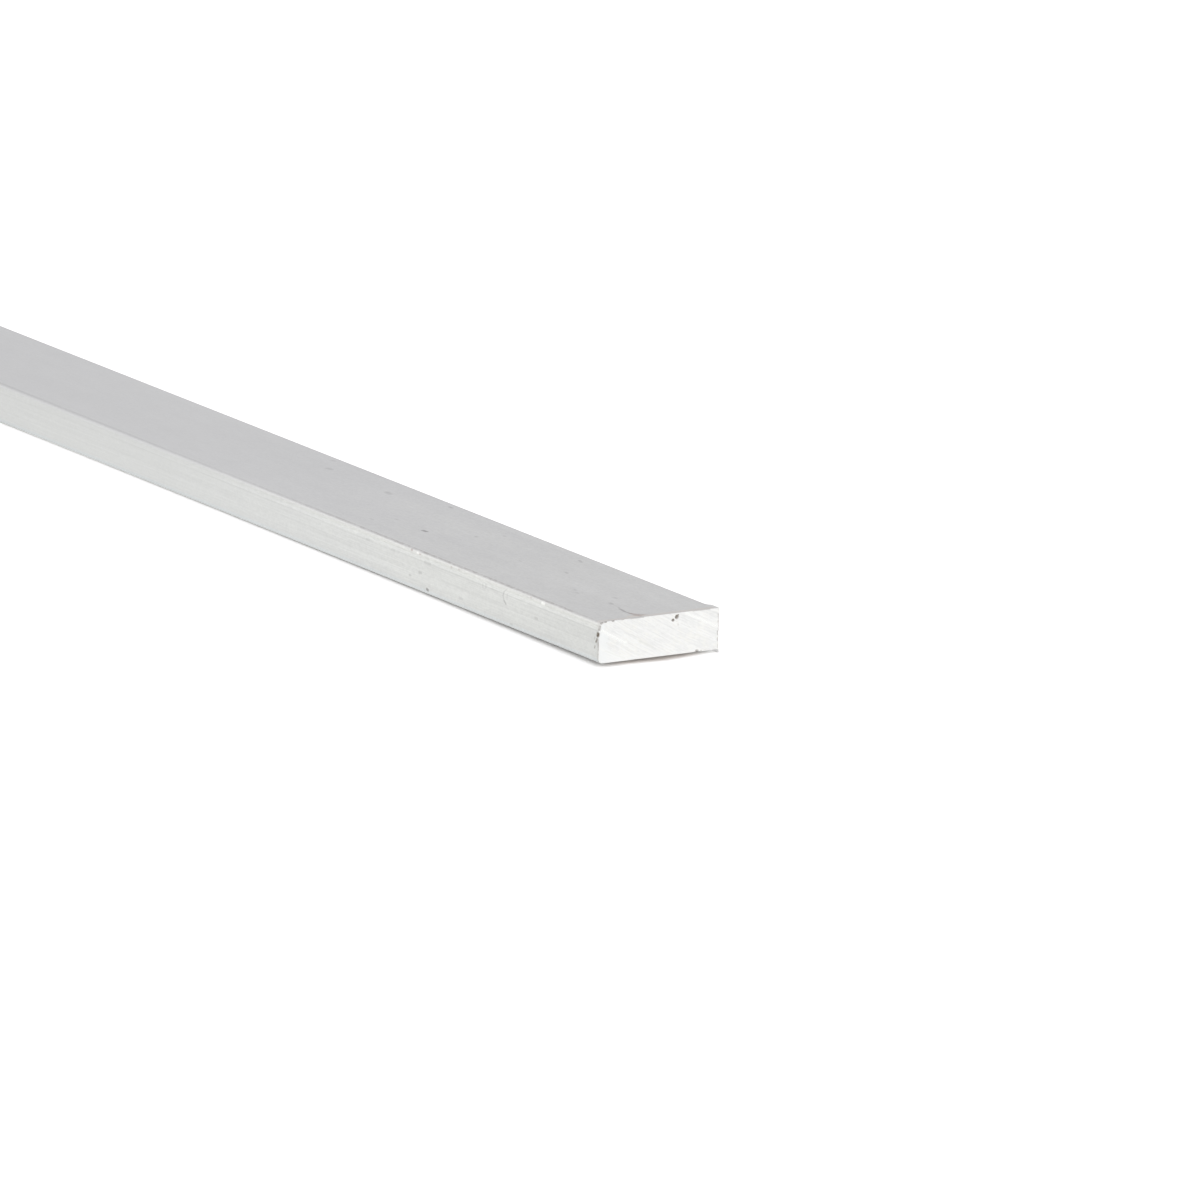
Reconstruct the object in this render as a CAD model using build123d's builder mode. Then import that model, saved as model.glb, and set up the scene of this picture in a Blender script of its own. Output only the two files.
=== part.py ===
"""Aluminium flat bar: one length of extruded stock, sawn square at both ends.

The bar lies flat on its wide face. Its length runs along X, its width along Y and its
thickness along Z, and the origin is the middle of the face that it rests on.
"""

from build123d import *
import os

os.makedirs("parts", exist_ok=True)

# Stock size: the nominal section, and the length that it is cut to.
bar_width = 20 * MM
bar_thickness = 6 * MM
bar_length = 300 * MM

# The die leaves the same radius along all four long edges. The sawn edges stay sharp.
long_edge_radius = 0.75 * MM

# The section stands on the origin's level at one sawn end and runs to the other.
left_sawn_end = Plane.YZ.offset(-bar_length / 2)

with BuildPart() as flat_bar:
    with BuildSketch(left_sawn_end) as section:
        RectangleRounded(
            bar_width,
            bar_thickness,
            long_edge_radius,
            align=(Align.CENTER, Align.MIN),
        )
    extrude(amount=bar_length)

flat_bar.part.label = "flat_bar"
export_step(flat_bar.part, "parts/flat_bar.step")
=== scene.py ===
"""Flat bar: builds one length of mill-finish aluminium flat bar, with sawn ends, on a pale studio floor.

The bar lies along X, on its wide face, with the origin in the middle of the face it rests on.
Lengths are in metres, but the places and sizes of marks and textures are in mm.
"""

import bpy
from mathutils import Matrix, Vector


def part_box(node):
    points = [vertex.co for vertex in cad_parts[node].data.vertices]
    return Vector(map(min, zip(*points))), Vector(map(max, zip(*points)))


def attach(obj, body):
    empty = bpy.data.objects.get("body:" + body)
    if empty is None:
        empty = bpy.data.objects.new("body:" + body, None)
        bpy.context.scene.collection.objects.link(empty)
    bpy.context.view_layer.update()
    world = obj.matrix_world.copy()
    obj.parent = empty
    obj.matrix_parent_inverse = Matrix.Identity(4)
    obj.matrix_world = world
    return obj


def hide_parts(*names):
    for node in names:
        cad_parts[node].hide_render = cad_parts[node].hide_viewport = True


bl_info = {
    "name": "Flat Bar Stock",
    "version": (1, 0, 0),
    "blender": (4, 5, 0),
    "location": "View3D > Sidebar > Flat Bar",
    "description": "Builds a sawn length of aluminium flat bar and the studio it is shown in",
    "category": "Add Mesh",
}

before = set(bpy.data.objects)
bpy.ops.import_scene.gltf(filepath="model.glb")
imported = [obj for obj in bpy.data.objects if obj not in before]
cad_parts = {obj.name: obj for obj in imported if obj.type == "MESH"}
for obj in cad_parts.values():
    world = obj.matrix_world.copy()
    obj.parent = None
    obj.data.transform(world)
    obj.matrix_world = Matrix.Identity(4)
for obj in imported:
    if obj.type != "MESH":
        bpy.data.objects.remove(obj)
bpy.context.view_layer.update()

import math

import bpy
import numpy as np
from bpy.props import FloatProperty, FloatVectorProperty, IntProperty, PointerProperty
from mathutils import Matrix, Vector, noise

BAR_NODE = "flat_bar"
LOW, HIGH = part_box(BAR_NODE)
MM = 0.001
# Half the length, half the width and the thickness of the bar's box, in mm.
HALF_LENGTH, HALF_WIDTH, THICKNESS = HIGH.x / MM, HIGH.y / MM, (HIGH.z - LOW.z) / MM


# ---------------------------------------------------------------- sizes and colours


class FlatBarSizes(bpy.types.PropertyGroup):
    """Sizes of the stock and of the marks that the die and the saw leave on it."""

    length: FloatProperty(
        name="Length", description="Cut length of the bar", default=HIGH.x - LOW.x, unit="LENGTH"
    )
    width: FloatProperty(
        name="Width", description="Width of the two wide faces", default=HIGH.y - LOW.y, unit="LENGTH"
    )
    thickness: FloatProperty(
        name="Thickness", description="Height of the two sides", default=HIGH.z - LOW.z, unit="LENGTH"
    )
    edge_radius: FloatProperty(
        name="Edge radius", description="Radius of the four long edges", default=0.75 * MM, unit="LENGTH"
    )
    skin: FloatProperty(
        name="Skin",
        description="How far the faces lie inside the nominal size, so that ridges stay within it",
        default=0.012 * MM, precision=6, unit="LENGTH",
    )
    die_line: FloatProperty(
        name="Die line depth",
        description="Depth of the lines that the die draws along the bar",
        default=0.007 * MM, precision=6, unit="LENGTH",
    )
    cut_recess: FloatProperty(
        name="Cut recess",
        description="How far the middle of a sawn face lies inside the cut length",
        default=0.03 * MM, precision=6, unit="LENGTH",
    )
    saw_mark: FloatProperty(
        name="Saw mark depth",
        description="Depth of the marks across a sawn face",
        default=0.010 * MM, precision=6, unit="LENGTH",
    )
    saw_spacing: FloatProperty(
        name="Saw mark spacing",
        description="Distance from one saw mark to the next",
        default=0.65 * MM, precision=5, unit="LENGTH",
    )
    blade_radius: FloatProperty(
        name="Blade radius", description="Radius of the saw marks' arcs", default=0.150, unit="LENGTH"
    )
    blade_slope: FloatProperty(
        name="Blade slope",
        description="Slope of the saw marks at the middle of a sawn face",
        default=math.radians(28), subtype="ANGLE",
    )
    burr: FloatProperty(
        name="Burr",
        description="Size of the broken, ragged edge round a sawn face",
        default=0.045 * MM, precision=6, unit="LENGTH",
    )
    seed: IntProperty(name="Seed", description="Seed of everything irregular", default=7)


class FlatBarFinish(bpy.types.PropertyGroup):
    """Colours and roughness of the drawn faces, the sawn faces and the marks on them."""

    mill_colour: FloatVectorProperty(
        name="Drawn face",
        description="Colour of the faces that the die leaves",
        default=(0.760, 0.762, 0.760), subtype="COLOR", min=0, max=1,
    )
    sawn_colour: FloatVectorProperty(
        name="Sawn face",
        description="Colour of the fresh metal across a cut",
        default=(0.962, 0.959, 0.958), subtype="COLOR", min=0, max=1,
    )
    # Also the colour of painted shade in the sawn faces' holes and along their broken edges.
    burr_and_shade_colour: FloatVectorProperty(
        name="Burr",
        description="Colour of torn metal and old cutting oil",
        default=(0.16, 0.125, 0.09), subtype="COLOR", min=0, max=1,
    )
    grime_colour: FloatVectorProperty(
        name="Scratches",
        description="Colour of rubbed-in marks",
        default=(0.40, 0.39, 0.39), subtype="COLOR", min=0, max=1,
    )
    line_colour: FloatVectorProperty(
        name="Edge line",
        description="Colour of the broken line along the upper edges",
        default=(0.41, 0.39, 0.375), subtype="COLOR", min=0, max=1,
    )
    stain_colour: FloatVectorProperty(
        name="Stain",
        description="Colour of the brown stains on the drawn faces",
        default=(0.43, 0.34, 0.31), subtype="COLOR", min=0, max=1,
    )
    oil_colour: FloatVectorProperty(
        name="Oil",
        description="Colour of the metal under a thin film of cutting oil",
        default=(0.80, 0.73, 0.67), subtype="COLOR", min=0, max=1,
    )
    mill_roughness: FloatProperty(
        name="Drawn roughness", description="Roughness of the drawn faces", default=0.42, min=0, max=1
    )
    sawn_roughness: FloatProperty(
        name="Sawn roughness", description="Roughness of the sawn faces", default=0.48, min=0, max=1
    )


class StudioSettings(bpy.types.PropertyGroup):
    """The floor, the light and the camera."""

    floor_gap: FloatProperty(
        name="Floor gap",
        description="How far the floor lies below the bar at its ends",
        default=0.67 * MM, precision=6, unit="LENGTH",
    )
    floor_radius: FloatProperty(
        name="Floor reach", description="Half the side of the floor", default=7.0, unit="LENGTH"
    )
    floor_colour: FloatVectorProperty(
        name="Floor", description="Colour of the floor", default=(0.55, 0.55, 0.55), subtype="COLOR"
    )
    mirrored_floor: FloatProperty(
        name="Mirrored floor", description="Level of the floor as the metal mirrors it", default=1.0
    )
    backdrop: FloatProperty(
        name="Backdrop", description="Level of the white that the camera sees round the floor", default=1.0
    )
    room: FloatProperty(
        name="Room", description="Level of the light that comes from all round", default=0.75
    )
    azimuth: FloatProperty(
        name="Azimuth",
        description="Direction of the camera round the bar, from straight in front",
        default=math.radians(57.522), subtype="ANGLE",
    )
    elevation: FloatProperty(
        name="Elevation",
        description="Height of the camera above the horizon",
        default=math.radians(13.519), subtype="ANGLE",
    )
    roll: FloatProperty(
        name="Roll",
        description="Turn of the camera about its own line of sight",
        default=math.radians(1.505), subtype="ANGLE",
    )
    lens: FloatProperty(
        name="Lens", description="Focal length of the camera", default=600.0, unit="CAMERA"
    )
    depth: FloatProperty(
        name="Camera distance",
        description="Distance from the camera to the nearest bottom corner of the bar",
        default=2.7982, unit="LENGTH",
    )


# ---------------------------------------------------------------- shader sums


class Wire:
    """One output of a shader node. Python's operators on it add the Math nodes."""

    def __init__(self, socket):
        self.socket = socket
        self.tree = socket.id_data

    @staticmethod
    def pick(sockets, key):
        """The socket of that place, identifier or name."""
        if isinstance(key, int):
            return sockets[key]
        named = [s for s in sockets if s.identifier == key] or [s for s in sockets if s.name == key]
        return next((s for s in named if s.enabled), named[0])

    @classmethod
    def node(cls, tree, kind, settings=None, output=0, **values):
        """A node of any type: its settings are set first, then its sockets' values or links."""
        made = tree.nodes.new(kind)
        for name, value in (settings or {}).items():
            if name == "stops":
                ramp = made.color_ramp.elements
                while len(ramp) < len(value):
                    ramp.new(0.5)
                for element, (place, level) in zip(ramp, value):
                    element.position = place
                    element.color = (level, level, level, 1)
            else:
                setattr(made, name, value)
        for key, value in values.items():
            key = int(key[1:]) if key[0] == "_" else key.replace("__", " ")
            entry = cls.pick(made.inputs, key)
            if isinstance(value, Wire):
                tree.links.new(value.socket, entry)
            elif entry.type == "RGBA" and len(value) == 3:
                entry.default_value = (*value, 1)
            else:
                entry.default_value = value
        return cls(cls.pick(made.outputs, output)) if len(made.outputs) else made

    def more(self, output):
        """Another output of the same node."""
        return Wire(self.pick(self.socket.node.outputs, output))

    def maths(self, operation, *values):
        """A Math node on those values."""
        numbered = {f"_{i}": v for i, v in enumerate(values)}
        return self.node(self.tree, "ShaderNodeMath", {"operation": operation}, **numbered)

    def __add__(self, other):
        return self.maths("ADD", self, other)

    def __radd__(self, other):
        return self.maths("ADD", other, self)

    def __sub__(self, other):
        return self.maths("SUBTRACT", self, other)

    def __rsub__(self, other):
        return self.maths("SUBTRACT", other, self)

    def __mul__(self, other):
        return self.maths("MULTIPLY", self, other)

    def __rmul__(self, other):
        return self.maths("MULTIPLY", other, self)

    def __truediv__(self, other):
        return self.maths("DIVIDE", self, other)

    def __pow__(self, other):
        return self.maths("POWER", self, other)

    def __abs__(self):
        return self.maths("ABSOLUTE", self)

    def sign(self):
        """-1 below 0 and 1 above it."""
        return self.maths("SIGN", self)

    def least(self, other):
        """The smaller of the two."""
        return self.maths("MINIMUM", self, other)

    def most(self, other):
        """The larger of the two."""
        return self.maths("MAXIMUM", self, other)

    def swing(self, size):
        """A level from 0 to 1 as a swing of that size round 0."""
        return (self - 0.5) * size

    def step(self, low, high):
        """0 below low, 1 above high and smooth between; low above high turns it round."""
        if low > high:
            return 1 - self.step(high, low)
        settings = {"interpolation_type": "SMOOTHSTEP"}
        return self.node(
            self.tree, "ShaderNodeMapRange", settings, Value=self, From__Min=low, From__Max=high
        )

    def ramp(self, stops):
        """A level read off a curve of (place, level) stops."""
        return self.node(self.tree, "ShaderNodeValToRGB", {"stops": stops}, Fac=self)

    def mix(self, first, second):
        """Colours first and second, mixed by this level."""
        values = {"Factor_Float": self, "A_Color": first, "B_Color": second}
        return self.node(self.tree, "ShaderNodeMix", {"data_type": "RGBA"}, "Result_Color", **values)

    def shade(self, colour):
        """That colour, made lighter or darker by this level round 1."""
        settings = {"operation": "SCALE"}
        return self.node(self.tree, "ShaderNodeVectorMath", settings, _0=tuple(colour), Scale=self)

    def vector(self, operation, *values, output=0):
        """A Vector Math node on this vector and those values."""
        numbered = {f"_{i}": v for i, v in enumerate((self, *values))}
        return self.node(self.tree, "ShaderNodeVectorMath", {"operation": operation}, output, **numbered)

    def parts(self):
        """The x, y and z of a vector."""
        split = self.node(self.tree, "ShaderNodeSeparateXYZ", Vector=self)
        return split, split.more(1), split.more(2)

    def grain(self, size, detail=2.0, roughness=0.5):
        """Noise whose lumps have that size along x, y and z, from 0 to 1 round a middle of 0.5."""
        scaled = self.vector("MULTIPLY", tuple(1 / s for s in size))
        return self.node(
            self.tree, "ShaderNodeTexNoise",
            Vector=scaled, Scale=1.0, Detail=detail, Roughness=roughness,
        )

    def from_line(self, start, end):
        """Distance to the straight line from start to end."""
        run = Vector(end) - Vector(start)
        here = self.vector("SUBTRACT", tuple(start))
        along = here.vector("DOT_PRODUCT", tuple(run), output="Value") / run.length_squared
        nearest = along.most(0.0).least(1.0).shade(run)
        return here.vector("SUBTRACT", nearest).vector("LENGTH", output="Value")


def new_material(name):
    """An empty material, its node tree and the place on the object, in mm."""
    material = bpy.data.materials.new(name)
    material.use_nodes = True
    tree = material.node_tree
    tree.nodes.clear()
    metres = Wire.node(tree, "ShaderNodeTexCoord", output="Object")
    return material, tree, metres.vector("MULTIPLY", (1 / MM,) * 3)


def metal(tree, colour, roughness, height, bump, edge_tint):
    """Bare metal with that colour, roughness and relief, joined to the material's output."""
    relief = Wire.node(tree, "ShaderNodeBump", Strength=1.0, Distance=bump, Height=height, output="Normal")
    shader = Wire.node(
        tree, "ShaderNodeBsdfPrincipled",
        Base__Color=colour, Metallic=1.0, Roughness=roughness, Normal=relief,
        Specular__Tint=(edge_tint, edge_tint, edge_tint, 1),
    )
    Wire.node(tree, "ShaderNodeOutputMaterial", Surface=shader)


# ---------------------------------------------------------------- marks of handling, painted shade and painted glints

# Levels of the wide upper face, the front side and the right-hand cut, in mm.
TOP = 6.0
FRONT = -10.0
CUT = 150.0


def marks_on(axis, level, rows):
    """Marks on the face where that axis has that level. The rows leave it out of both ends."""
    listed = []
    for *places, half_width, strength in rows:
        ends = places[:2], places[2:]
        for end in ends:
            end.insert(axis, level)
        listed.append((*ends, half_width, strength))
    return tuple(listed)


# Each mark is a short line on the skin of the bar: start and end in mm, half width in mm, strength.
GRIME_MARKS = marks_on(2, TOP, (
    (91.65, -2.98, 92.45, -2.90, 0.34, 0.80),  # dash
    (91.90, -2.98, 92.25, -2.94, 0.26, 0.98),
    (80.85, 8.12, 81.65, 8.06, 0.30, 0.38),  # dots
    (98.05, 1.84, 98.45, 1.80, 0.26, 0.30),
    (99.50, 5.66, 100.0, 5.64, 0.25, 0.24),
    (117.0, 7.40, 118.2, 7.05, 0.24, 0.34),
    (122.2, 1.86, 123.0, 1.66, 0.24, 0.30),
    (138.2, -0.10, 138.8, -0.12, 0.26, 0.30),
    (113.5, -0.40, 113.9, -0.42, 0.22, 0.16),
    (83.90, -2.79, 84.40, -2.81, 0.25, 0.22),
    (82.10, -5.92, 82.80, -5.98, 0.26, 0.18),
    (131.7, -2.60, 132.2, -2.68, 0.24, 0.22),
    (133.3, -3.30, 133.9, -3.38, 0.24, 0.18),
    (69.10, 4.80, 70.20, 4.64, 0.48, 0.30),  # smudges
    (52.45, 4.95, 53.25, 5.06, 0.42, 0.27),
    (48.50, 8.30, 49.10, 8.27, 0.30, 0.20),
    (140.8, -2.36, 141.5, -2.52, 0.33, 0.38),  # start of the long scratch
    (141.5, -2.52, 143.6, -2.76, 0.16, 0.12),
    (143.6, -2.76, 144.5, -3.06, 0.18, 0.34),
    (144.5, -3.06, 145.5, -3.22, 0.25, 0.60),
    (145.5, -3.22, 146.1, -3.28, 0.25, 0.72),
    (146.1, -3.28, 147.5, -3.18, 0.25, 0.60),
)) + marks_on(1, FRONT, (
    (125.7, 5.62, 124.9, 5.00, 0.14, 0.20),  # arc scratch on the side
    (124.9, 5.00, 124.6, 4.35, 0.14, 0.34),
    (124.6, 4.35, 124.9, 3.70, 0.14, 0.30),
    (124.9, 3.70, 125.4, 3.30, 0.17, 0.50),
    (125.7, 4.80, 125.7, 4.10, 0.12, 0.16),
    (104.3, 0.86, 104.6, 0.80, 0.25, 0.95),
    (102.1, 2.84, 102.7, 2.90, 0.22, 0.34),
    (99.50, 1.90, 99.90, 1.95, 0.19, 0.30),
    (133.2, 2.98, 133.8, 3.00, 0.22, 0.28),
    (113.0, 1.44, 113.8, 1.48, 0.20, 0.20),
    (126.7, 0.70, 127.2, 0.70, 0.20, 0.22),
    (103.6, 4.66, 105.0, 4.66, 0.28, 0.22),
    (120.0, 4.95, 120.0, 4.50, 0.19, 0.24),
    (121.2, 4.60, 123.2, 4.56, 0.22, 0.14),
    (119.2, 4.95, 119.2, 4.45, 0.17, 0.22),
    (119.5, 4.30, 119.8, 4.10, 0.20, 0.12),
    (87.70, 4.62, 88.50, 4.66, 0.20, 0.18),
    (94.60, 4.56, 95.40, 4.56, 0.20, 0.14),
))
# Brown end of the long scratch, where it meets the cut, and brown specks along the upper edge.
BROWN_MARKS = marks_on(2, TOP, (
    (147.4, -3.10, 148.0, -2.92, 0.34, 0.52),
    (148.0, -2.94, 148.5, -2.62, 0.44, 0.56),
    (148.4, -2.50, 148.8, -2.05, 0.42, 0.42),
    (148.6, -1.90, 148.7, -1.40, 0.36, 0.22),
    (148.5, -3.10, 149.1, -2.70, 0.42, 0.48),
)) + (
    ((99.70, -9.90, 5.72), (99.95, -9.90, 5.66), 0.20, 0.55),
    ((102.1, -9.95, 5.50), (102.3, -9.95, 5.50), 0.15, 0.35),
    ((110.6, -9.95, 5.49), (110.8, -9.95, 5.44), 0.17, 0.28),
    ((112.5, -9.93, 5.55), (112.9, -9.93, 5.55), 0.14, 0.28),
    ((131.7, -9.90, 5.65), (132.0, -9.90, 5.62), 0.17, 0.26),
)
# Thin oil on the wide face, beside the cut.
OIL_MARKS = marks_on(2, TOP, (
    (148.9, -4.20, 149.1, -2.00, 0.50, 0.60),
    (149.3, -9.40, 149.5, -5.00, 0.40, 0.40),
    (149.4, -1.80, 149.4, 9.00, 0.50, 0.40),
))
# Torn, oily spots on the sawn edges and in the sawn faces. The dark in the holes and along the broken
# front edge is painted shade.
TORN_SPOTS_AND_SHADE = (
    ((149.95, 2.91, 5.36), (149.95, 2.97, 5.46), 0.29, 1.00),  # holes beside the top of the cut
    ((149.95, 2.98, 5.46), (149.95, 3.14, 5.66), 0.16, 0.75),
    ((149.95, 2.31, 4.98), (149.95, 2.33, 5.02), 0.22, 0.95),
    ((149.97, 3.12, 4.36), (149.97, 3.18, 4.22), 0.15, 0.14),
    ((149.93, -9.78, 5.34), (149.93, -9.88, 4.90), 0.20, 0.66),  # front edge
    ((149.70, -9.96, 4.26), (149.66, -9.98, 4.04), 0.29, 1.00),
    ((149.52, -9.98, 3.46), (149.30, -9.98, 3.08), 0.20, 0.68),
    ((149.85, -9.98, 3.00), (149.85, -9.98, 2.40), 0.15, 0.22),
    ((149.05, -9.98, 2.40), (148.95, -9.98, 2.15), 0.17, 0.45),
    ((149.00, -9.98, 3.65), (148.90, -9.98, 3.40), 0.16, 0.20),
    ((149.95, -9.55, 5.80), (149.95, -9.35, 5.92), 0.20, 0.55),  # top of the cut
    ((149.95, -8.98, 5.97), (149.95, -8.82, 5.97), 0.19, 0.66),
    ((149.95, -7.74, 5.97), (149.95, -7.56, 5.97), 0.16, 0.60),
    ((149.95, -6.20, 5.98), (149.95, -5.90, 5.98), 0.11, 0.30),
    ((149.95, -4.70, 5.98), (149.95, -2.60, 5.98), 0.10, 0.30),
    ((149.95, 5.60, 5.97), (149.95, 8.40, 5.97), 0.10, 0.24),
    ((149.95, 6.30, 0.14), (149.95, 6.50, 0.10), 0.22, 0.50),  # bottom of the cut
    ((149.95, 7.05, 0.12), (149.95, 7.15, 0.10), 0.12, 0.28),
    ((149.95, 9.78, 5.10), (149.95, 9.80, 4.80), 0.16, 0.12),  # back edge
    ((149.95, 9.80, 4.10), (149.95, 9.82, 3.95), 0.15, 0.18),
    ((149.95, 9.80, 2.60), (149.95, 9.84, 2.20), 0.18, 0.26),
    ((149.95, 9.80, 1.60), (149.95, 9.84, 1.35), 0.17, 0.28),
    ((149.95, 9.92, 0.60), (149.95, 9.92, 0.20), 0.15, 0.16),
    ((-149.90, -4.10, 2.30), (-149.92, -4.00, 2.55), 0.22, 0.90),
    ((-149.95, 6.70, 5.90), (-149.95, 6.95, 5.90), 0.16, 0.60),
    ((-149.90, 9.92, 3.70), (-149.80, 9.95, 3.45), 0.20, 0.80),
)
# Bright dings and rubbed places.
BRIGHT_MARKS = (
    ((134.80, -9.97, 5.52), (135.50, -9.97, 5.48), 0.22, 0.90),
    ((101.35, -9.95, 5.60), (101.70, -9.95, 5.56), 0.16, 0.85),
    ((145.6, -4.12, TOP), (148.3, -4.22, TOP), 0.22, 0.10),
    ((148.3, 9.80, 5.95), (149.8, 9.80, 5.95), 0.60, 0.34),
    ((104.0, FRONT, 1.14), (104.9, FRONT, 1.10), 0.12, 0.12),
)
# Dark strips of the sawn face, partly torn metal and partly painted shade of its broken edges: along its
# front edge, wider towards the torn upper corner, and its back.
DARK_RIM_AND_SHADE = marks_on(0, CUT, (
    (-9.86, 5.75, -9.92, 5.00, 0.28, 0.34),
    (-9.98, 4.90, -10.0, 3.40, 0.17, 0.32),
    (-10.0, 3.40, -10.0, 0.40, 0.13, 0.28),
    (9.94, 5.00, 9.96, 0.60, 0.15, 0.18),
))
# Painted glints: lighter metal along the front and the bottom of the sawn face.
PAINTED_GLINTS = marks_on(0, CUT, (
    (-9.40, 5.30, -9.30, 4.90, 0.34, 0.80),
    (-9.30, 4.00, -9.10, 0.80, 0.95, 0.85),
    (-8.60, 0.40, 1.00, 0.40, 0.42, 0.25),
))
# Burnished streaks along the saw's arcs; their lighter colour is partly a painted glint.
SAW_STREAKS_AND_GLINTS = marks_on(0, CUT, (
    (4.40, 5.84, 9.60, 3.38, 0.25, 1.00),
    (-9.50, 4.76, -5.40, 2.56, 0.24, 1.00),
    (-9.60, 2.10, -6.20, 0.50, 0.20, 0.75),
    (-6.60, 3.00, -4.10, 1.40, 0.17, 0.60),
    (-1.15, 4.90, -0.75, 4.65, 0.22, 0.60),
    (-0.60, 4.30, 1.90, 3.30, 0.14, 0.25),
    (-9.20, 1.20, -7.60, 0.50, 0.14, 0.35),
))
# Dull streaks between them.
DULL_STREAKS = marks_on(0, CUT, (
    (-8.60, 2.90, -6.90, 2.00, 0.16, 0.35),
    (-3.10, 2.60, -1.00, 1.50, 0.22, 0.45),
    (-8.80, 1.75, -5.60, 0.35, 0.13, 0.30),
    (2.00, 2.40, 4.60, 1.10, 0.18, 0.22),
    (6.00, 2.60, 8.40, 1.60, 0.16, 0.22),
    (-4.80, 3.70, -3.00, 2.90, 0.14, 0.22),
))


def marks(place, listed):
    """One level that is high on any of the listed marks, soft at their rims."""
    total = None
    for start, end, half_width, strength in listed:
        level = place.from_line(start, end).step(half_width * 1.4, half_width * 0.3) * strength
        total = level if total is None else total.most(level)
    return total


# ---------------------------------------------------------------- materials

# Light and dark lines up the sides, from the bottom edge (0) to the top edge (1).
SIDE_LINES = (
    (0.00, 0.42), (0.14, 0.43), (0.23, 0.44), (0.27, 0.52), (0.305, 0.61), (0.34, 0.51),
    (0.405, 0.61), (0.47, 0.45), (0.52, 0.48), (0.60, 0.59), (0.67, 0.52), (0.73, 0.56),
    (0.750, 0.52), (0.774, 0.37), (0.798, 0.52), (0.92, 0.50),
)

# Heights up the side in mm, where something begins and where it is full.
BAND_FOOT = (4.68, 4.88)
BAND_TOP = (5.10, 5.45)
BAND_YELLOW = (5.0, 5.5)
LINE_HEIGHT = (4.0, 5.0)
TURN_HEIGHT = (5.36, 5.85)
COOL_FOOT = (0.95, 0.50)
RIM_FOOT, RIM_TOP = (0.25, 0.90), (5.8, 5.4)
RIM_DEPTH = (0.14, 0.02)  # likewise, but inside a sawn face's outline
# Places along the bar in mm, likewise.
LIVELY_PART = (18.0, 100.0)
LINED_PART = (30.0, 104.0)
LINE_FULL = (148.0, 139.0)
BAND_TOP_DARKER = (146.0, 134.0)
# Tints on the drawn and the sawn colour, and plain colours of marks. The yellow tint is a painted sheen on
# the upper band, and the cool tint is a painted reflection of the shaded floor along the bottom.
WARM, YELLOW_SHEEN, COOL_REFLECTION = (1.0, 1.0, 0.990), (1.0, 0.998, 0.960), (0.975, 1.0, 1.022)
CREAM = (1.003, 0.998, 0.980)
BRIGHT_METAL = (0.97, 0.97, 0.94)
GLINT_WHITE = (0.985, 0.995, 1.0)
STREAK_AND_GLINT_METAL = (1.0, 1.0, 0.995)
DULL_METAL = (0.84, 0.84, 0.82)

SAME = 1000.0  # size in mm of lumps so long that nothing changes along them


def tinted(colour, tint):
    """A colour multiplied by a tint."""
    return [c * t for c, t in zip(colour, tint)]


def covered(base, layers):
    """A colour with further colours laid over it, each by its own level."""
    for share, colour in layers:
        base = share.mix(base, colour if isinstance(colour, Wire) else tuple(colour))
    return base


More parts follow.
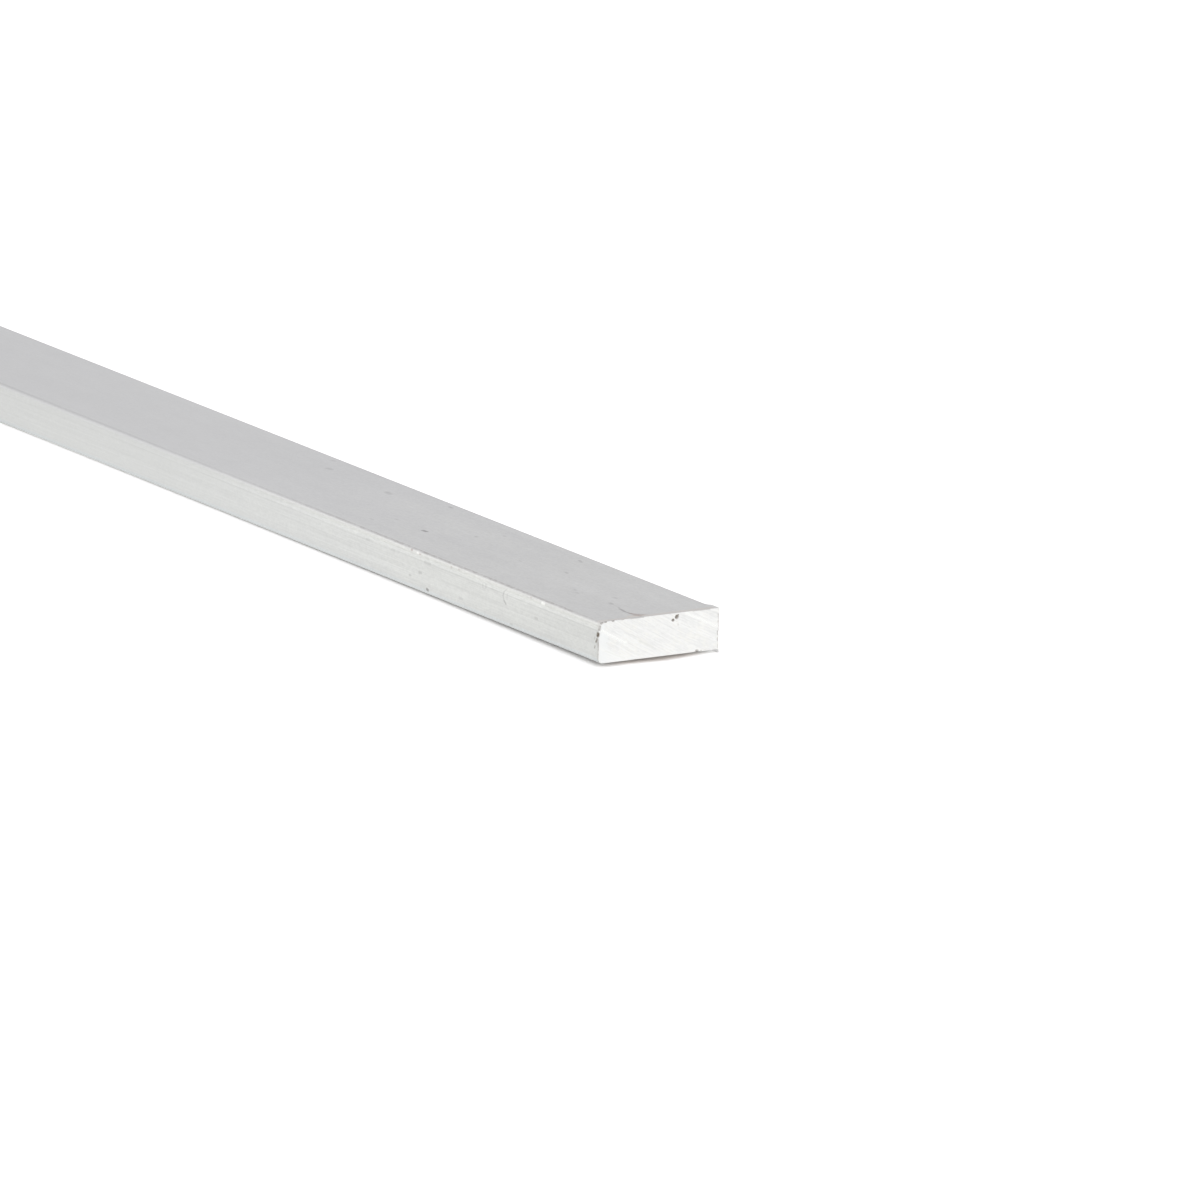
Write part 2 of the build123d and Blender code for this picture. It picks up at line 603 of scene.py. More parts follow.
def mill_finish(finish):
    """Drawn aluminium: lines along the bar, faint blotches, marks of handling, dark edges at the cuts that
    are partly painted shade, and a painted highlight and tints along the sides.
    """
    material, tree, place = new_material("drawn_aluminium")
    x, _, z = place.parts()
    sideways = abs(Wire.node(tree, "ShaderNodeNewGeometry", output="Normal").parts()[1])
    on_side = sideways.step(0.55, 0.95)
    # Away from the right-hand cut the bar is smoother and more even, and its band and line fade.
    lively = x.step(*LIVELY_PART)

    fine = place.grain((11, 0.11, 0.11))
    drawn = place.grain((60, 0.42, 0.42), detail=3)
    broad = place.grain((300, 2.4, 2.4), detail=1)
    streaks = place.grain((9, 0.20, 0.20), detail=3, roughness=0.65)
    scores = place.grain((30, 0.16, 0.16), detail=1)
    side_lines = (z / THICKNESS + broad.swing(0.04)).ramp(SIDE_LINES)
    lines = drawn.swing(0.050) + fine.swing(0.050) + broad.swing(0.03)
    lines = lines + (side_lines.swing(0.30) + scores.swing(0.14)) * on_side
    lines = lines + (streaks - 0.5) * (on_side * 0.12 + 0.03)
    blotch = place.grain((5, 2, 2), detail=3, roughness=0.6)
    drift = place.grain((40, 9, 9), detail=1)
    speckle = place.grain((0.60, 0.34, 0.34), detail=3, roughness=0.6)
    cloud = blotch.swing(0.08) + speckle.swing(0.22) + drift.swing(0.11)

    # Along the upper edges the die picks up metal in short, rough tears; the lighter band there is a
    # painted highlight.
    upper_band = on_side * z.step(*BAND_FOOT)
    tears = place.grain((1.5, 0.20, 0.20), detail=3, roughness=0.7)
    high_up = z.step(*BAND_TOP) * x.step(*BAND_TOP_DARKER)
    flat_side = sideways.step(0.88, 0.98)
    tears_and_highlight = tears.swing(0.42) + flat_side * (0.085 - high_up * 0.035)
    level = 1 + (lines + cloud) * (lively * 0.55 + 0.45) + tears_and_highlight * upper_band * (lively * 0.9 + 0.1)
    turning = sideways.step(0.05, 0.60) * z.step(*TURN_HEIGHT)
    level = level - (1 - lively) * (on_side * 0.038 + turning * 0.20)

    # A thin, broken brown line where the upper edges turn over to the wide face.
    turned = sideways.step(0.20, 0.34) * sideways.step(0.84, 0.60) * z.step(*LINE_HEIGHT)
    broken = place.grain((1.0, 0.34, 0.34), detail=3, roughness=0.7).step(0.36, 0.70)
    lined = x.step(*LINED_PART) * (x.step(*LINE_FULL) * 0.5 + 0.5)

    # Torn metal and oil right beside the cuts, most of all on the sides; part of this darkening is painted
    # shade of the broken edges.
    to_cut = HALF_LENGTH - abs(x)
    at_cut, stained = to_cut.step(0.26, 0.05), to_cut.step(0.90, 0.20)
    ragged = place.grain((0.5, 0.45, 0.35), detail=3, roughness=0.7).step(0.42, 0.68)
    standing = sideways.step(0.2, 0.6) * 0.85 + 0.15
    torn = (at_cut * (ragged * 0.42 + 0.12) + stained * 0.06) * standing

    warmed = (blotch * 0.3 + drift * 0.3 + abs(x) / HALF_LENGTH * 0.5).step(0.52, 0.72)
    # Painted sheen: the upper band of the sides is a little yellower.
    sheen_in_band = upper_band * z.step(*BAND_YELLOW) * (lively * 0.7 + 0.1)
    # Painted reflection: the sides are cooler along the bottom, where they mirror the shaded floor.
    foot = sideways.step(0.3, 0.9) * z.step(*COOL_FOOT)
    worn = marks(place, GRIME_MARKS)
    colour = finish.mill_colour
    base = covered(level.shade(colour), (
        (warmed, level.shade(tinted(colour, WARM))),
        (sheen_in_band, level.shade(tinted(colour, YELLOW_SHEEN))),
        (foot, level.shade(tinted(colour, COOL_REFLECTION))),
        (turned * lined * (broken * 0.40 + 0.28), finish.line_colour),
        (marks(place, OIL_MARKS), finish.oil_colour),
        (worn, finish.grime_colour),
        (marks(place, BROWN_MARKS), finish.stain_colour),
        (marks(place, BRIGHT_MARKS), BRIGHT_METAL),
        (torn, finish.burr_and_shade_colour),
        (marks(place, TORN_SPOTS_AND_SHADE), finish.burr_and_shade_colour),
    ))
    roughness = finish.mill_roughness + drawn.swing(0.10) + blotch.swing(0.08) + worn * 0.15
    relief = drawn * 0.5 + fine * 0.35 + tears * upper_band * 0.6 - worn * 0.8
    metal(tree, base, roughness, relief, bump=0.006 * MM, edge_tint=0.80)
    return material


def blade_centre(sizes):
    """Middle of the saw blade's arcs, as y and z on the sawn face."""
    up = math.pi / 2 - sizes.blade_slope
    return (
        math.cos(up) * sizes.blade_radius,
        sizes.thickness / 2 + math.sin(up) * sizes.blade_radius,
    )


def sawn_finish(sizes, finish):
    """Fresh metal across a cut: arcs from the saw, torn specks and a dark rim, both partly painted shade,
    and painted glints.
    """
    material, tree, place = new_material("sawn_aluminium")
    x, y, z = place.parts()
    outward = y * x.sign()  # the two cuts mirror each other
    centre_y, centre_z = (c / MM for c in blade_centre(sizes))
    slope = sizes.blade_slope
    spot = Wire.node(tree, "ShaderNodeCombineXYZ", Y=outward, Z=z)
    reach = spot.vector("SUBTRACT", (0.0, centre_y, centre_z)).vector("LENGTH", output="Value")
    along = spot.vector("DOT_PRODUCT", (0.0, math.cos(slope), -math.sin(slope)), output="Value")
    arcs = Wire.node(tree, "ShaderNodeCombineXYZ", X=along, Y=reach, Z=x)

    fine = arcs.grain((4, 0.18, SAME))
    coarse = arcs.grain((14, 0.45, SAME))
    torn = arcs.grain((0.7, 0.24, SAME), detail=3, roughness=0.65)
    blotch = place.grain((SAME, 1.6, 1.6))
    level = 1 + coarse.swing(0.16) + fine.swing(0.23) + torn.swing(0.22) + blotch.swing(0.10)
    # Painted shade: each sawn face is a little darker towards one side edge, the back edge on the
    # right-hand cut.
    level = level - outward / HALF_WIDTH * 0.012

    # Distance inside the rounded outline, for a dark rim up the two sides, not at the top and bottom:
    # partly torn metal, partly painted shade of the broken edges.
    half_y, half_z, r = (v / MM for v in (sizes.width / 2, sizes.thickness / 2, sizes.edge_radius))
    qy, qz = abs(y) - (half_y - r), abs(z - half_z) - (half_z - r)
    corner = (qy.most(0.0) ** 2.0 + qz.most(0.0) ** 2.0) ** 0.5
    inside = r - (corner + qy.most(qz).least(0.0))
    rim = inside.step(*RIM_DEPTH) * z.step(*RIM_FOOT) * z.step(*RIM_TOP)
    ragged = place.grain((SAME, 0.5, 0.4), detail=3, roughness=0.7).step(0.46, 0.66)

    burnished_and_glinting = marks(place, SAW_STREAKS_AND_GLINTS)
    colour = finish.sawn_colour
    base = covered(level.shade(colour), (
        ((fine * 0.5 + blotch * 0.5).step(0.46, 0.60), level.shade(tinted(colour, CREAM))),
        (marks(place, PAINTED_GLINTS), GLINT_WHITE),
        (burnished_and_glinting, STREAK_AND_GLINT_METAL),
        (marks(place, DULL_STREAKS), DULL_METAL),
        (rim * (ragged * 0.35 + 0.06), finish.burr_and_shade_colour),
        (marks(place, DARK_RIM_AND_SHADE), finish.burr_and_shade_colour),
        (marks(place, TORN_SPOTS_AND_SHADE), finish.burr_and_shade_colour),
    ))
    roughness = finish.sawn_roughness + coarse.swing(0.16) + torn.swing(0.08) - burnished_and_glinting * 0.28
    relief = coarse * 0.7 + fine * 0.4 + torn * 0.4
    metal(tree, base, roughness, relief, bump=0.010 * MM, edge_tint=0.90)
    return material


# ---------------------------------------------------------------- the bar's mesh

# The grid over a section: columns round an upper or lower edge and over the flat, and rows.
ARC_COLUMNS = 12
FLAT_COLUMNS = 168
ROWS = 72
# Stations along the bar: the first step from a cut, how steps grow, how far, and how many in the middle.
FIRST_STEP = 0.04 * MM
STEP_GROWTH = 1.25
CROWDED = 38 * MM
MIDDLE_STATIONS = 26
ROUND_A_DING = (-0.45, -0.25, -0.12, 0, 0.12, 0.25, 0.45)
DIE_SPACINGS = (2.3, 1.1, 0.62, 0.37)  # mm from one drawn line to the next
DIE_DRIFT = 4 / 3  # how fast drawn lines drift sideways, in spacings per metre
# The broken edge: how far its damage reaches back from the cut and inward over it, and its lumps.
DAMAGE_BACK = 0.10 * MM
DAMAGE_INWARD = 0.07 * MM
LUMP, FINE_LUMP = 0.42 * MM, 0.16 * MM

# Dings and torn spots: centre in mm, reach in mm, and the push in mm along x, y and z.
DINGS = (
    ((135.1, -9.90, 5.60), (0.24, 0.22, 0.22), (0.0, 0.040, -0.030)),
    ((101.5, -9.86, 5.66), (0.20, 0.20, 0.20), (0.0, 0.035, -0.030)),
    ((-61.0, 9.80, 5.75), (0.22, 0.22, 0.22), (0.0, -0.040, -0.040)),
)
TEARS = (
    ((150.0, 2.94, 5.40), (0.30, 0.24, 0.26), (-0.22, 0.0, 0.0)),  # holes in the sawn face
    ((150.0, 2.28, 4.98), (0.30, 0.18, 0.18), (-0.18, 0.0, 0.0)),
    ((150.0, -9.90, 5.30), (0.50, 0.26, 0.60), (-0.24, 0.06, -0.04)),  # broken front edge
    ((150.0, -10.0, 3.90), (0.40, 0.20, 0.70), (-0.16, 0.03, 0.0)),
    ((149.7, -9.98, 4.14), (0.24, 0.24, 0.22), (-0.03, 0.12, 0.0)),
    ((149.4, -9.98, 3.26), (0.22, 0.20, 0.22), (0.0, 0.08, 0.0)),
    ((149.0, -9.98, 2.28), (0.20, 0.20, 0.22), (0.0, 0.06, 0.0)),
    ((150.0, -9.45, 5.95), (0.26, 0.24, 0.20), (-0.08, 0.0, -0.10)),  # nicks along the top of the cut
    ((150.0, -8.90, 6.00), (0.22, 0.18, 0.16), (-0.06, 0.0, -0.10)),
    ((150.0, -7.65, 6.00), (0.20, 0.15, 0.14), (-0.04, 0.0, -0.08)),
    ((150.0, 6.42, 0.00), (0.20, 0.24, 0.20), (-0.05, 0.0, 0.10)),
    ((150.0, 9.95, 2.40), (0.20, 0.14, 0.20), (-0.05, -0.05, 0.0)),  # nicks down the back edge
    ((150.0, 9.95, 1.45), (0.20, 0.14, 0.20), (-0.05, -0.05, 0.0)),
    ((-150.0, -4.10, 2.40), (0.26, 0.20, 0.24), (0.18, 0.0, 0.0)),
    ((-150.0, 6.80, 6.00), (0.20, 0.20, 0.16), (0.05, 0.0, -0.09)),
    ((-150.0, 9.98, 3.60), (0.30, 0.24, 0.50), (0.16, -0.08, 0.0)),
)


def section_grid(sizes):
    """y and z of a grid over the bar's rounded section, columns first."""
    half, r = sizes.width / 2, sizes.edge_radius
    turn = np.linspace(0, math.pi / 2, ARC_COLUMNS + 1)[:-1]
    arc_y, arc_rise = half - r + r * np.cos(turn), r * np.sin(turn)
    flat_y = np.linspace(-(half - r), half - r, FLAT_COLUMNS + 1)
    y = np.concatenate([-arc_y, flat_y, arc_y[::-1]])
    rise = np.concatenate([arc_rise, np.full(len(flat_y), r), arc_rise[::-1]])
    low, high = r - rise, sizes.thickness - r + rise
    share = np.linspace(0, 1, ROWS + 1)
    grid_z = low[:, None] + (high - low)[:, None] * share
    grid_y = np.repeat(y[:, None], ROWS + 1, axis=1)
    return grid_y, grid_z


def ring_of(columns, rows):
    """Indices of a grid's outline, anticlockwise seen from +X."""
    number = np.arange(columns * rows).reshape(columns, rows)
    bottom, back = number[:, 0], number[-1, 1:]
    top, front = number[-2::-1, -1], number[0, -2:0:-1]
    return np.concatenate([bottom, back, top, front])


def skin_at(sizes, y, z):
    """How far points lie inside the rounded section, and the outward direction there."""
    half_y, half_z, r = sizes.width / 2, sizes.thickness / 2, sizes.edge_radius
    side_y, side_z = np.sign(y), np.sign(z - half_z)
    qy, qz = np.abs(y) - (half_y - r), np.abs(z - half_z) - (half_z - r)
    oy, oz = np.maximum(qy, 0), np.maximum(qz, 0)
    corner = np.hypot(oy, oz)
    inside = r - corner - np.minimum(np.maximum(qy, qz), 0)
    safe = np.maximum(corner, 1e-9)
    ny = np.where(corner > 1e-9, oy / safe, (qy >= qz).astype(float)) * side_y
    nz = np.where(corner > 1e-9, oz / safe, (qy < qz).astype(float)) * side_z
    return inside, ny, nz


def stations(sizes):
    """Places along the bar where a section stands: close together at the cuts and the dings."""
    half = sizes.length / 2
    steps, step = [0.0], FIRST_STEP
    while steps[-1] < CROWDED:
        steps.append(steps[-1] + step)
        step *= STEP_GROWTH
    near = np.array(steps) - half
    middle = np.linspace(near[-1], -near[-1], MIDDLE_STATIONS + 2)[1:-1]
    extra = [centre[0] * MM + d * MM for centre, _, _ in DINGS for d in ROUND_A_DING]
    return np.unique(np.round(np.concatenate([near, middle, extra, -near]), 8))


def die_depth(sizes, y, z, x):
    """Depth of the drawn lines at points on the skin, from 0 to twice the die line depth."""
    rng = np.random.default_rng(sizes.seed)
    _, ny, nz = skin_at(sizes, y, z)
    wide = np.abs(nz) > 0.7
    place = np.where(wide, y, z)
    total = np.zeros_like(place)
    for spacing in DIE_SPACINGS:
        for face in (1, -1):
            on_face = np.where(wide, nz, ny) * face > 0
            shift, drift = rng.uniform(0, 9), rng.uniform(-0.6, 0.6)
            turns = place / MM / spacing + shift + drift * x * DIE_DRIFT
            total += np.where(on_face, np.sin(turns * 2 * math.pi), 0) / len(DIE_SPACINGS)
    return sizes.die_line * (1 + total)


def value_noise(points, size, seed):
    """Smooth noise from -1 to 1 at each point, with lumps of that size in metres."""
    shift = Vector((seed * 3.7, seed * 1.3, seed * 2.9))
    return np.array([noise.noise(Vector(p / size) + shift) for p in points])


def push(points, centre, reach, by):
    """Pushes the points near a centre, less and less away from it."""
    away = np.linalg.norm((points / MM - np.array(centre)) / np.array(reach), axis=1)
    points += np.exp(-(away**2))[:, None] * np.array(by) * MM


# Back edges that the saw turned out square: top or bottom, where it starts and where it is full (mm).
LIPS = ((1, 146.5, 148.0), (-1, 148.2, 149.3))


def square_up(sizes, points, upper, start, full):
    """Squares the back edge at the top (1) or the bottom (-1), more and more towards the cut."""
    r, half_z = sizes.edge_radius, sizes.thickness / 2
    qy = points[:, 1] - (sizes.width / 2 - r)
    qz = (points[:, 2] - half_z) * upper - (half_z - r)
    share = np.clip((points[:, 0] / MM - start) / (full - start), 0, 1)
    share = share * share * (3 - 2 * share)
    stretch = np.hypot(qy, qz) / np.maximum(np.maximum(qy, qz), 1e-9) - 1
    grow = np.where((qy > 0) & (qz > 0), stretch, 0) * share
    points[:, 1] += qy * grow
    points[:, 2] += qz * grow * upper


def saw_relief(sizes, y, z, end):
    """Height of the saw marks over a sawn face, round 0."""
    centre_y, centre_z = blade_centre(sizes)
    reach = np.hypot(y * end - centre_y, z - centre_z)
    slope = sizes.blade_slope
    along = y * end * math.cos(slope) - z * math.sin(slope)

    def stretched(times, apart):
        """Places on the face for noise that is that much longer along the arcs."""
        return np.stack([along / times, reach, np.full_like(y, end * apart)], -1)

    wobble = value_noise(stretched(16, 0.01), 1.3 * MM, sizes.seed + end)
    strength = 0.55 + 0.45 * value_noise(stretched(16, 0.01), 0.9 * MM, sizes.seed + 5 + end)
    turns = reach / sizes.saw_spacing + 0.55 * wobble
    fine = value_noise(stretched(5, 0.02), 0.22 * MM, sizes.seed + 9)
    return sizes.saw_mark * (np.sin(turns * 2 * math.pi) * strength * 0.6 + fine * 0.4)


def bar_points(sizes):
    """All points of the bar: the sections' outlines, then the insides of the two sawn faces."""
    grid_y, grid_z = section_grid(sizes)
    columns, rows = grid_y.shape
    ring = ring_of(columns, rows)
    ring_y, ring_z = grid_y.ravel()[ring], grid_z.ravel()[ring]
    xs = stations(sizes)

    _, ny, nz = skin_at(sizes, ring_y, ring_z)
    x = np.repeat(xs, len(ring))
    y, z = np.tile(ring_y, len(xs)), np.tile(ring_z, len(xs))
    depth = sizes.skin * 0.2 + die_depth(sizes, y, z, x)
    skin = np.stack([x, y - np.tile(ny, len(xs)) * depth, z - np.tile(nz, len(xs)) * depth], -1)

    inner = np.setdiff1d(np.arange(columns * rows), ring)
    inner_y, inner_z = grid_y.ravel()[inner], grid_z.ravel()[inner]
    caps = [np.stack([np.full(len(inner), e * sizes.length / 2), inner_y, inner_z], -1) for e in (-1, 1)]
    points = np.concatenate([skin, *caps])
    return points, xs, ring, inner, (columns, rows)


def cut_ends(sizes, points):
    """Saw marks over both sawn faces, and the broken edge round them."""
    half = sizes.length / 2
    for end in (-1, 1):
        back = half - end * points[:, 0]
        near = np.nonzero(back < DAMAGE_BACK * 8)[0]
        here = points[near]
        inside, ny, nz = skin_at(sizes, here[:, 1], here[:, 2])
        fade = np.exp(-back[near] / DAMAGE_BACK)
        relief = saw_relief(sizes, here[:, 1], here[:, 2], end)
        edge = np.exp(-np.maximum(inside, 0) / DAMAGE_INWARD)
        lumps = 0.5 + 0.5 * value_noise(here, LUMP, sizes.seed + 20)
        fine_lumps = 0.5 + 0.5 * value_noise(here, FINE_LUMP, sizes.seed + 30)
        level = np.abs(here[:, 2] / sizes.thickness - 0.5) * 2  # the top and bottom are cut cleaner
        above = np.clip((1 - level) * 3, 0.2, 1)
        broken = sizes.burr * (0.15 + 0.75 * lumps + 0.4 * fine_lumps) * edge * above
        inward = broken * fade * 0.5
        here[:, 0] -= end * fade * (sizes.cut_recess - relief + broken * 0.6)
        here[:, 1] -= ny * inward
        here[:, 2] -= nz * inward
        points[near] = here


def skin_faces(count, around):
    """The skin's faces, from each section to the next."""
    faces = []
    for first in range(0, (count - 1) * around, around):
        for i in range(around):
            j = (i + 1) % around
            faces.append((first + i, first + j, first + around + j, first + around + i))
    return faces


def cut_faces(count, ring, inner, columns, rows):
    """The faces of both cuts. Their outlines are the first and the last section."""
    faces = []
    around, total = len(ring), count * len(ring)
    for end, outline, within in ((-1, 0, total), (1, total - around, total + len(inner))):
        number = np.empty(columns * rows, int)
        number[ring] = outline + np.arange(around)
        number[inner] = within + np.arange(len(inner))
        number = number.reshape(columns, rows)
        for i in range(columns - 1):
            for j in range(rows - 1):
                quad = (number[i, j], number[i + 1, j], number[i + 1, j + 1], number[i, j + 1])
                faces.append(quad[::end])
    return faces


def bar_mesh(sizes):
    """The bar's mesh: one closed skin, with its own unwrapping."""
    points, xs, ring, inner, (columns, rows) = bar_points(sizes)
    cut_ends(sizes, points)
    for upper, start, full in LIPS:
        square_up(sizes, points, upper, start, full)
    for centre, reach, by in DINGS + TEARS:
        push(points, centre, reach, by)
    keep_inside(sizes, points)

    around = len(ring)
    skin, cuts = skin_faces(len(xs), around), cut_faces(len(xs), ring, inner, columns, rows)
    mesh = bpy.data.meshes.new("flat_bar_stock")
    mesh.from_pydata(points.tolist(), [], [[int(v) for v in face] for face in skin + cuts])
    mesh.polygons.foreach_set("material_index", [0] * len(skin) + [1] * len(cuts))
    mesh.polygons.foreach_set("use_smooth", [True] * len(mesh.polygons))
    ends = np.array([edge.vertices[:] for edge in mesh.edges])
    last = (len(xs) - 1) * around
    at_cuts = (ends < around).all(1) | ((ends >= last) & (ends < last + around)).all(1)
    sharp = mesh.attributes.new("sharp_edge", "BOOLEAN", "EDGE")
    sharp.data.foreach_set("value", at_cuts)
    unwrap(sizes, mesh, points, xs, around)
    mesh.validate()
    mesh.update()
    return mesh


def keep_inside(sizes, points):
    """Holds every point a hair inside the nominal size."""
    hair = 0.001 * MM
    half_x, half_y = sizes.length / 2 - hair, sizes.width / 2 - hair
    np.clip(points[:, 0], -half_x, half_x, out=points[:, 0])
    np.clip(points[:, 1], -half_y, half_y, out=points[:, 1])
    np.clip(points[:, 2], hair, sizes.thickness - hair, out=points[:, 2])


def unwrap(sizes, mesh, points, xs, around):
    """Lays the skin out as one sheet over most of the map, with the sawn faces side by side above."""
    first = points[:around, 1:]
    steps = np.linalg.norm(np.roll(first, -1, axis=0) - first, axis=1)
    run = np.concatenate([[0], np.cumsum(steps)])
    margin, sheet_top, cut_foot = 0.008, 0.835, 0.850
    corners = np.empty(len(mesh.loops), int)
    mesh.loops.foreach_get("vertex_index", corners)
    kinds = np.empty(len(mesh.polygons), int)
    mesh.polygons.foreach_get("material_index", kinds)
    skin = np.repeat(kinds, 4) == 0
    uv = np.zeros((len(corners), 2))

    station, turn = corners[skin] // around, corners[skin] % around
    # The last face round a section ends at the sheet's far edge, not back at its start.
    at_seam = (np.repeat(turn[::4], 4) == around - 1) & (turn == 0)
    along = (xs[station] + sizes.length / 2) / sizes.length
    across = np.where(at_seam, run[-1], run[turn]) / run[-1]
    uv[skin] = np.stack([margin + along * (1 - 2 * margin), margin + across * (sheet_top - margin)], -1)

    here = points[corners[~skin]]
    shift = np.where(here[:, 0] > 0, 0.5, 0.0)
    scale = (0.5 - 2 * margin) / sizes.width
    u = shift + margin + (here[:, 1] + sizes.width / 2) * scale
    uv[~skin] = np.stack([u, cut_foot + here[:, 2] * scale], -1)
    mesh.uv_layers.new(name="OFBake").data.foreach_set("uv", uv.ravel())


MOST_TRIANGLES = 200000


class FLATBAR_OT_build_stock(bpy.types.Operator):
    """Build the sawn length of flat bar, with its drawn faces and its two sawn faces"""

    bl_idname = "flat_bar.build_stock"
    bl_label = "Flat bar stock"

    def execute(self, context):
        sizes, finish = context.scene.flat_bar_sizes, context.scene.flat_bar_finish
        mesh = bar_mesh(sizes)
        mesh.materials.append(mill_finish(finish))
        mesh.materials.append(sawn_finish(sizes, finish))
        bar = bpy.data.objects.new("flat_bar_stock", mesh)
        context.scene.collection.objects.link(bar)
        if len(mesh.polygons) * 2 >= MOST_TRIANGLES:
            raise RuntimeError("the bar has too many faces")
        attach(bar, "root")
        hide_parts(BAR_NODE)
        return {"FINISHED"}


# ---------------------------------------------------------------- stage

IMAGE_SIDE = 1200
SENSOR = 36.0
CORNER_IN_IMAGE = (597.47, 663.61)  # where the nearest bottom corner shows, in pixels


# Levels of the floor as the camera sees it in the room's light: plain, and browner under the bar's end as
# a painted brown tint of the shadow there.
SHOWN_FLOOR = (1.46, 1.445, 1.44)
BROWN_SHADE_FLOOR = (1.49, 1.365, 1.29)
MIRRORED_TINT = (0.992, 1.0, 0.982)
ROOM_TINT = (0.993, 0.990, 1.006)
# Where the floor is painted browner, in mm: it begins and ends along the bar, and fades away from the
# bar's middle.
BROWN_SHADE_BEGINS, BROWN_SHADE_ENDS, BROWN_SHADE_FADES = (144.0, 147.0), (150.2, 148.8), (9.5, 4.5)
CLEAR_RIM = (-1.1, -0.5)  # mm outside the bar's outline where the mirrored floor turns white


def floor_material(studio):
    """Pale floor that keeps the bar's shadow and shows white to the camera and in metal."""
    material, tree, place = new_material("studio_floor")
    x, y, _ = place.parts()
    clear = (abs(x) - HALF_LENGTH).most(abs(y) - HALF_WIDTH).step(*CLEAR_RIM)
    rays = Wire.node(tree, "ShaderNodeLightPath", output="Is Camera Ray")
    mirrored = rays.more("Is Glossy Ray").most(rays.more("Is Transmission Ray"))
    # Painted shade: the floor under the bar's end is browner, so that the shadow there shows brown.
    brown_shade = x.step(*BROWN_SHADE_BEGINS) * x.step(*BROWN_SHADE_ENDS) * abs(y).step(*BROWN_SHADE_FADES)
    seen = rays.mix(tuple(studio.floor_colour), brown_shade.mix(SHOWN_FLOOR, BROWN_SHADE_FLOOR))
    lit = Wire.node(tree, "ShaderNodeBsdfDiffuse", Color=seen)
    plain = Wire.node(tree, "ShaderNodeEmission", Color=MIRRORED_TINT, Strength=studio.mirrored_floor)
    surface = Wire.node(tree, "ShaderNodeMixShader", Fac=mirrored * clear, _1=lit, _2=plain)
    Wire.node(tree, "ShaderNodeOutputMaterial", Surface=surface)
    return material


# Share of the floor gap from the bar's middle (0) to its ends (1).
FLOOR_FALL = (
    (0.0, 0.19), (0.10, 0.21), (0.28, 0.26), (0.39, 0.31), (0.50, 0.375), (0.63, 0.465),
    (0.77, 0.61), (0.90, 0.78), (0.967, 0.86), (1.0, 1.04),
)
# Share of that gap across the bar, with places in mm from its middle.
FLOOR_ACROSS = ((-10.0, 1.0), (-5.0, 0.88), (1.5, 1.09), (5.0, 0.88), (8.0, 0.66), (10.0, 0.72))
BANK_SLANT = 0.3  # how fast the bank widens away from the cuts
BANK_WIDTH = 12 * MM
BANK_GAP = 0.03 * MM  # how far its top stays under the bar's bottom face
HAIR = 0.02 * MM
FLOOR_STATIONS = 61


def build_floor(sizes, studio):
    """A pale floor a hair under the bar's middle, which falls away a little towards its ends.

    Behind the bar a low bank of floor closes the gap. It narrows to nothing at the cuts, so that
    the bar hides it.
    """
    half, edge, far = sizes.length / 2, sizes.width / 2, studio.floor_radius
    along = [-far, -half - HAIR, *np.linspace(-half, half, FLOOR_STATIONS), half + HAIR, far]
    points = []
    for x in along:
        drop = studio.floor_gap * np.interp(abs(x) / half, *zip(*FLOOR_FALL))
        back = drop * FLOOR_ACROSS[-1][1]
        bank = min(max(half - abs(x), 0) * BANK_SLANT, BANK_WIDTH) + HAIR
        top = BANK_GAP if abs(x) <= half else back
        start = edge + HAIR
        section = [(-far, drop), *((y * MM, drop * share) for y, share in FLOOR_ACROSS)]
        section += [(start, top), (start + bank, top), (start + bank * 2, back), (far, back)]
        points += [(x, y, -below) for y, below in section]
    n = len(section)
    faces = [
        (n * k + j, n * (k + 1) + j, n * (k + 1) + j + 1, n * k + j + 1)
        for k in range(len(along) - 1)
        for j in range(n - 1)
    ]
    mesh = bpy.data.meshes.new("studio_floor")
    mesh.from_pydata(points, [], faces)
    mesh.materials.append(floor_material(studio))
    floor = bpy.data.objects.new("studio_floor", mesh)
    bpy.context.scene.collection.objects.link(floor)


def light_room(studio):
    """Light from all round: white to the camera, plain elsewhere, with a little more from overhead."""
    world = bpy.data.worlds.new("studio_room")
    world.use_nodes = True
    bpy.context.scene.world = world
    tree = world.node_tree
    tree.nodes.clear()
    rays = Wire.node(tree, "ShaderNodeLightPath", output="Is Camera Ray")
    _, _, up = Wire.node(tree, "ShaderNodeTexCoord", output="Generated").parts()
    overhead = up.step(0.0, 0.8)
    level = (studio.room + overhead * 0.15).most(rays * studio.backdrop)
    tint = rays.mix(ROOM_TINT, (1.0, 1.0, 1.0))
    sky = Wire.node(tree, "ShaderNodeBackground", Color=tint, Strength=level)
    Wire.node(tree, "ShaderNodeOutputWorld", Surface=sky)


# Soft boxes: name, place, size and power.
SOFT_BOXES = (
    ("front_soft_box", (-1.9, -1.5, 1.1), 2.0, 5.0),
    ("back_soft_box", (2.1, 1.5, 1.2), 1.6, 7.5),
)


def hang_soft_boxes():
    """Large, weak lamps, turned to the bar."""
    for name, place, size, power in SOFT_BOXES:
        light = bpy.data.lights.new(name, "AREA")
        light.shape = "SQUARE"
        light.size = size
        light.energy = power
        lamp = bpy.data.objects.new(name, light)
        lamp.location = place
        lamp.rotation_mode = "QUATERNION"
        lamp.rotation_quaternion = (-Vector(place)).to_track_quat("-Z", "Y")
        lamp.visible_camera = False
        bpy.context.scene.collection.objects.link(lamp)


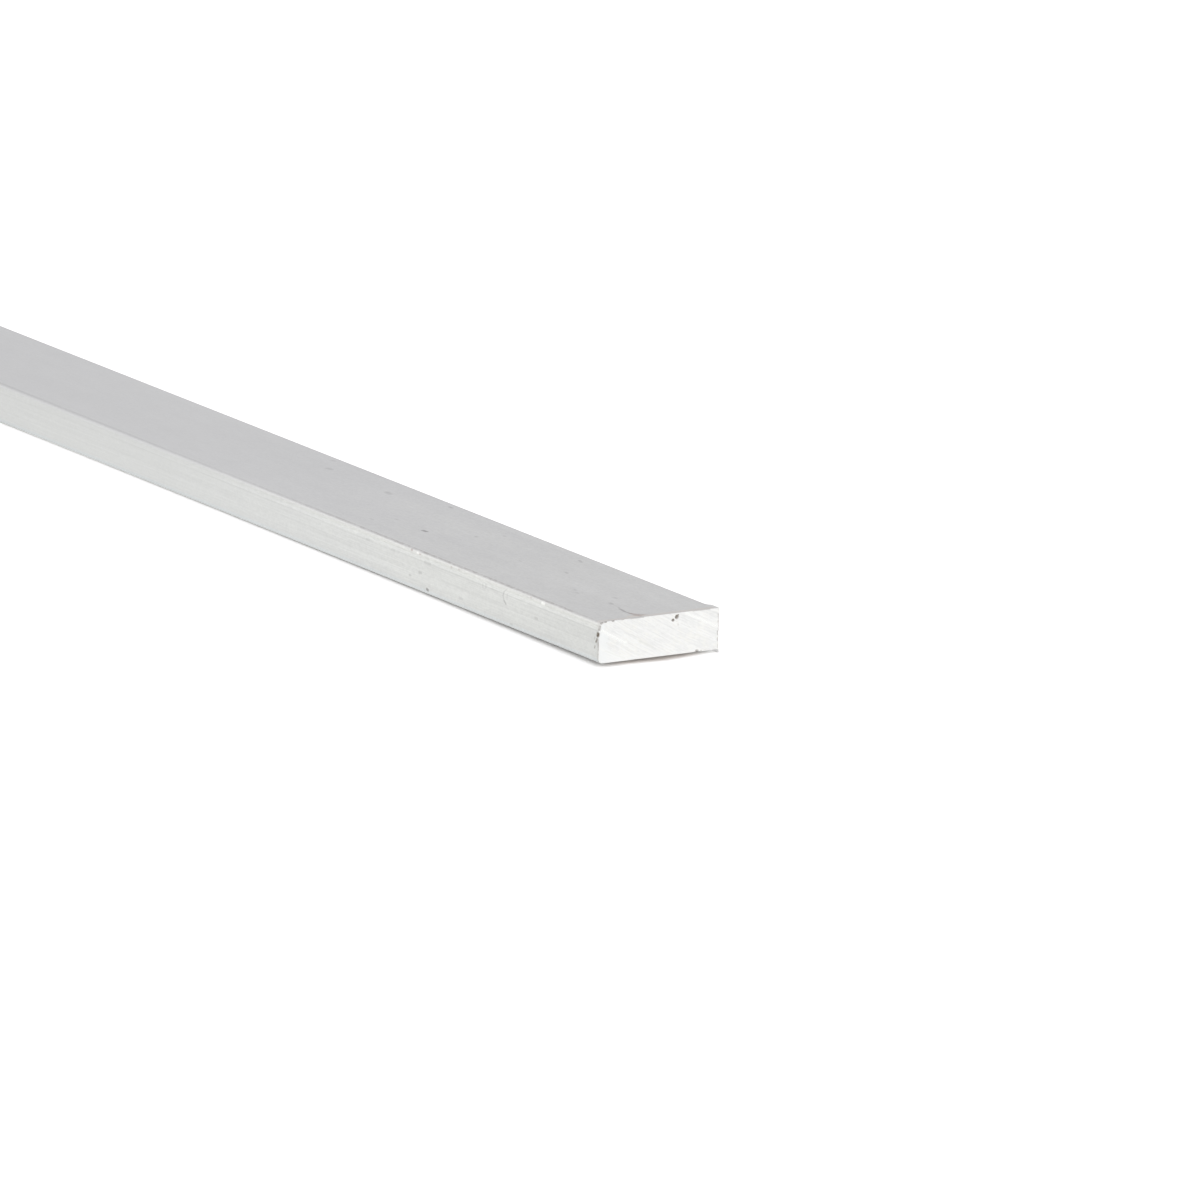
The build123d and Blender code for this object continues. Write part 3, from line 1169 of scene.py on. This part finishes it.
def place_camera(sizes, studio):
    """A long lens, aimed so that the nearest bottom corner stands at its place in the image."""
    a, e, roll = studio.azimuth, studio.elevation, studio.roll
    back = Vector((math.sin(a) * math.cos(e), -math.cos(a) * math.cos(e), math.sin(e)))
    level = Vector((math.cos(a), math.sin(a), 0))
    upright = back.cross(level)
    right = level * math.cos(roll) + upright * math.sin(roll)
    up = upright * math.cos(roll) - level * math.sin(roll)
    data = bpy.data.cameras.new("camera")
    data.sensor_width = SENSOR
    data.lens = studio.lens
    data.clip_start, data.clip_end = 0.05, 60.0
    focal = studio.lens / SENSOR * IMAGE_SIDE
    middle = (IMAGE_SIDE - 1) / 2
    shift_x = (CORNER_IN_IMAGE[0] - middle) / focal * studio.depth
    shift_y = (middle - CORNER_IN_IMAGE[1]) / focal * studio.depth
    corner = Vector((sizes.length / 2, -sizes.width / 2, 0))
    camera = bpy.data.objects.new("camera", data)
    camera.location = corner - right * shift_x - up * shift_y + back * studio.depth
    camera.rotation_mode = "QUATERNION"
    camera.rotation_quaternion = Matrix((right, up, back)).transposed().to_quaternion()
    bpy.context.scene.collection.objects.link(camera)
    bpy.context.scene.camera = camera


class FLATBAR_OT_set_stage(bpy.types.Operator):
    """Lay the floor, hang the lamps and place the camera"""

    bl_idname = "flat_bar.set_stage"
    bl_label = "Stage"

    def execute(self, context):
        sizes, studio = context.scene.flat_bar_sizes, context.scene.flat_bar_studio
        build_floor(sizes, studio)
        light_room(studio)
        hang_soft_boxes()
        place_camera(sizes, studio)
        context.scene.view_settings.view_transform = "Standard"
        return {"FINISHED"}


class FLATBAR_PT_panel(bpy.types.Panel):
    """Sizes, colours and building steps of the flat bar"""

    bl_idname = "FLATBAR_PT_panel"
    bl_label = "Flat Bar"
    bl_space_type = "VIEW_3D"
    bl_region_type = "UI"
    bl_category = "Flat Bar"

    def draw(self, context):
        for group in ("flat_bar_sizes", "flat_bar_finish", "flat_bar_studio"):
            settings = getattr(context.scene, group)
            box = self.layout.box()
            for name in settings.__annotations__:
                box.prop(settings, name)
        for operator in OPERATORS:
            self.layout.operator(operator.bl_idname)


OPERATORS = (FLATBAR_OT_build_stock, FLATBAR_OT_set_stage)
CLASSES = (FlatBarSizes, FlatBarFinish, StudioSettings, *OPERATORS, FLATBAR_PT_panel)


def register():
    """Add the classes and the settings to the scene."""
    for cls in CLASSES:
        bpy.utils.register_class(cls)
    bpy.types.Scene.flat_bar_sizes = PointerProperty(type=FlatBarSizes)
    bpy.types.Scene.flat_bar_finish = PointerProperty(type=FlatBarFinish)
    bpy.types.Scene.flat_bar_studio = PointerProperty(type=StudioSettings)


def unregister():
    """Take them out again."""
    del bpy.types.Scene.flat_bar_studio
    del bpy.types.Scene.flat_bar_finish
    del bpy.types.Scene.flat_bar_sizes
    for cls in reversed(CLASSES):
        bpy.utils.unregister_class(cls)


def main():
    """Build the bar and its stage."""
    register()
    bpy.ops.flat_bar.build_stock()
    bpy.ops.flat_bar.set_stage()


if __name__ == "__main__":
    main()
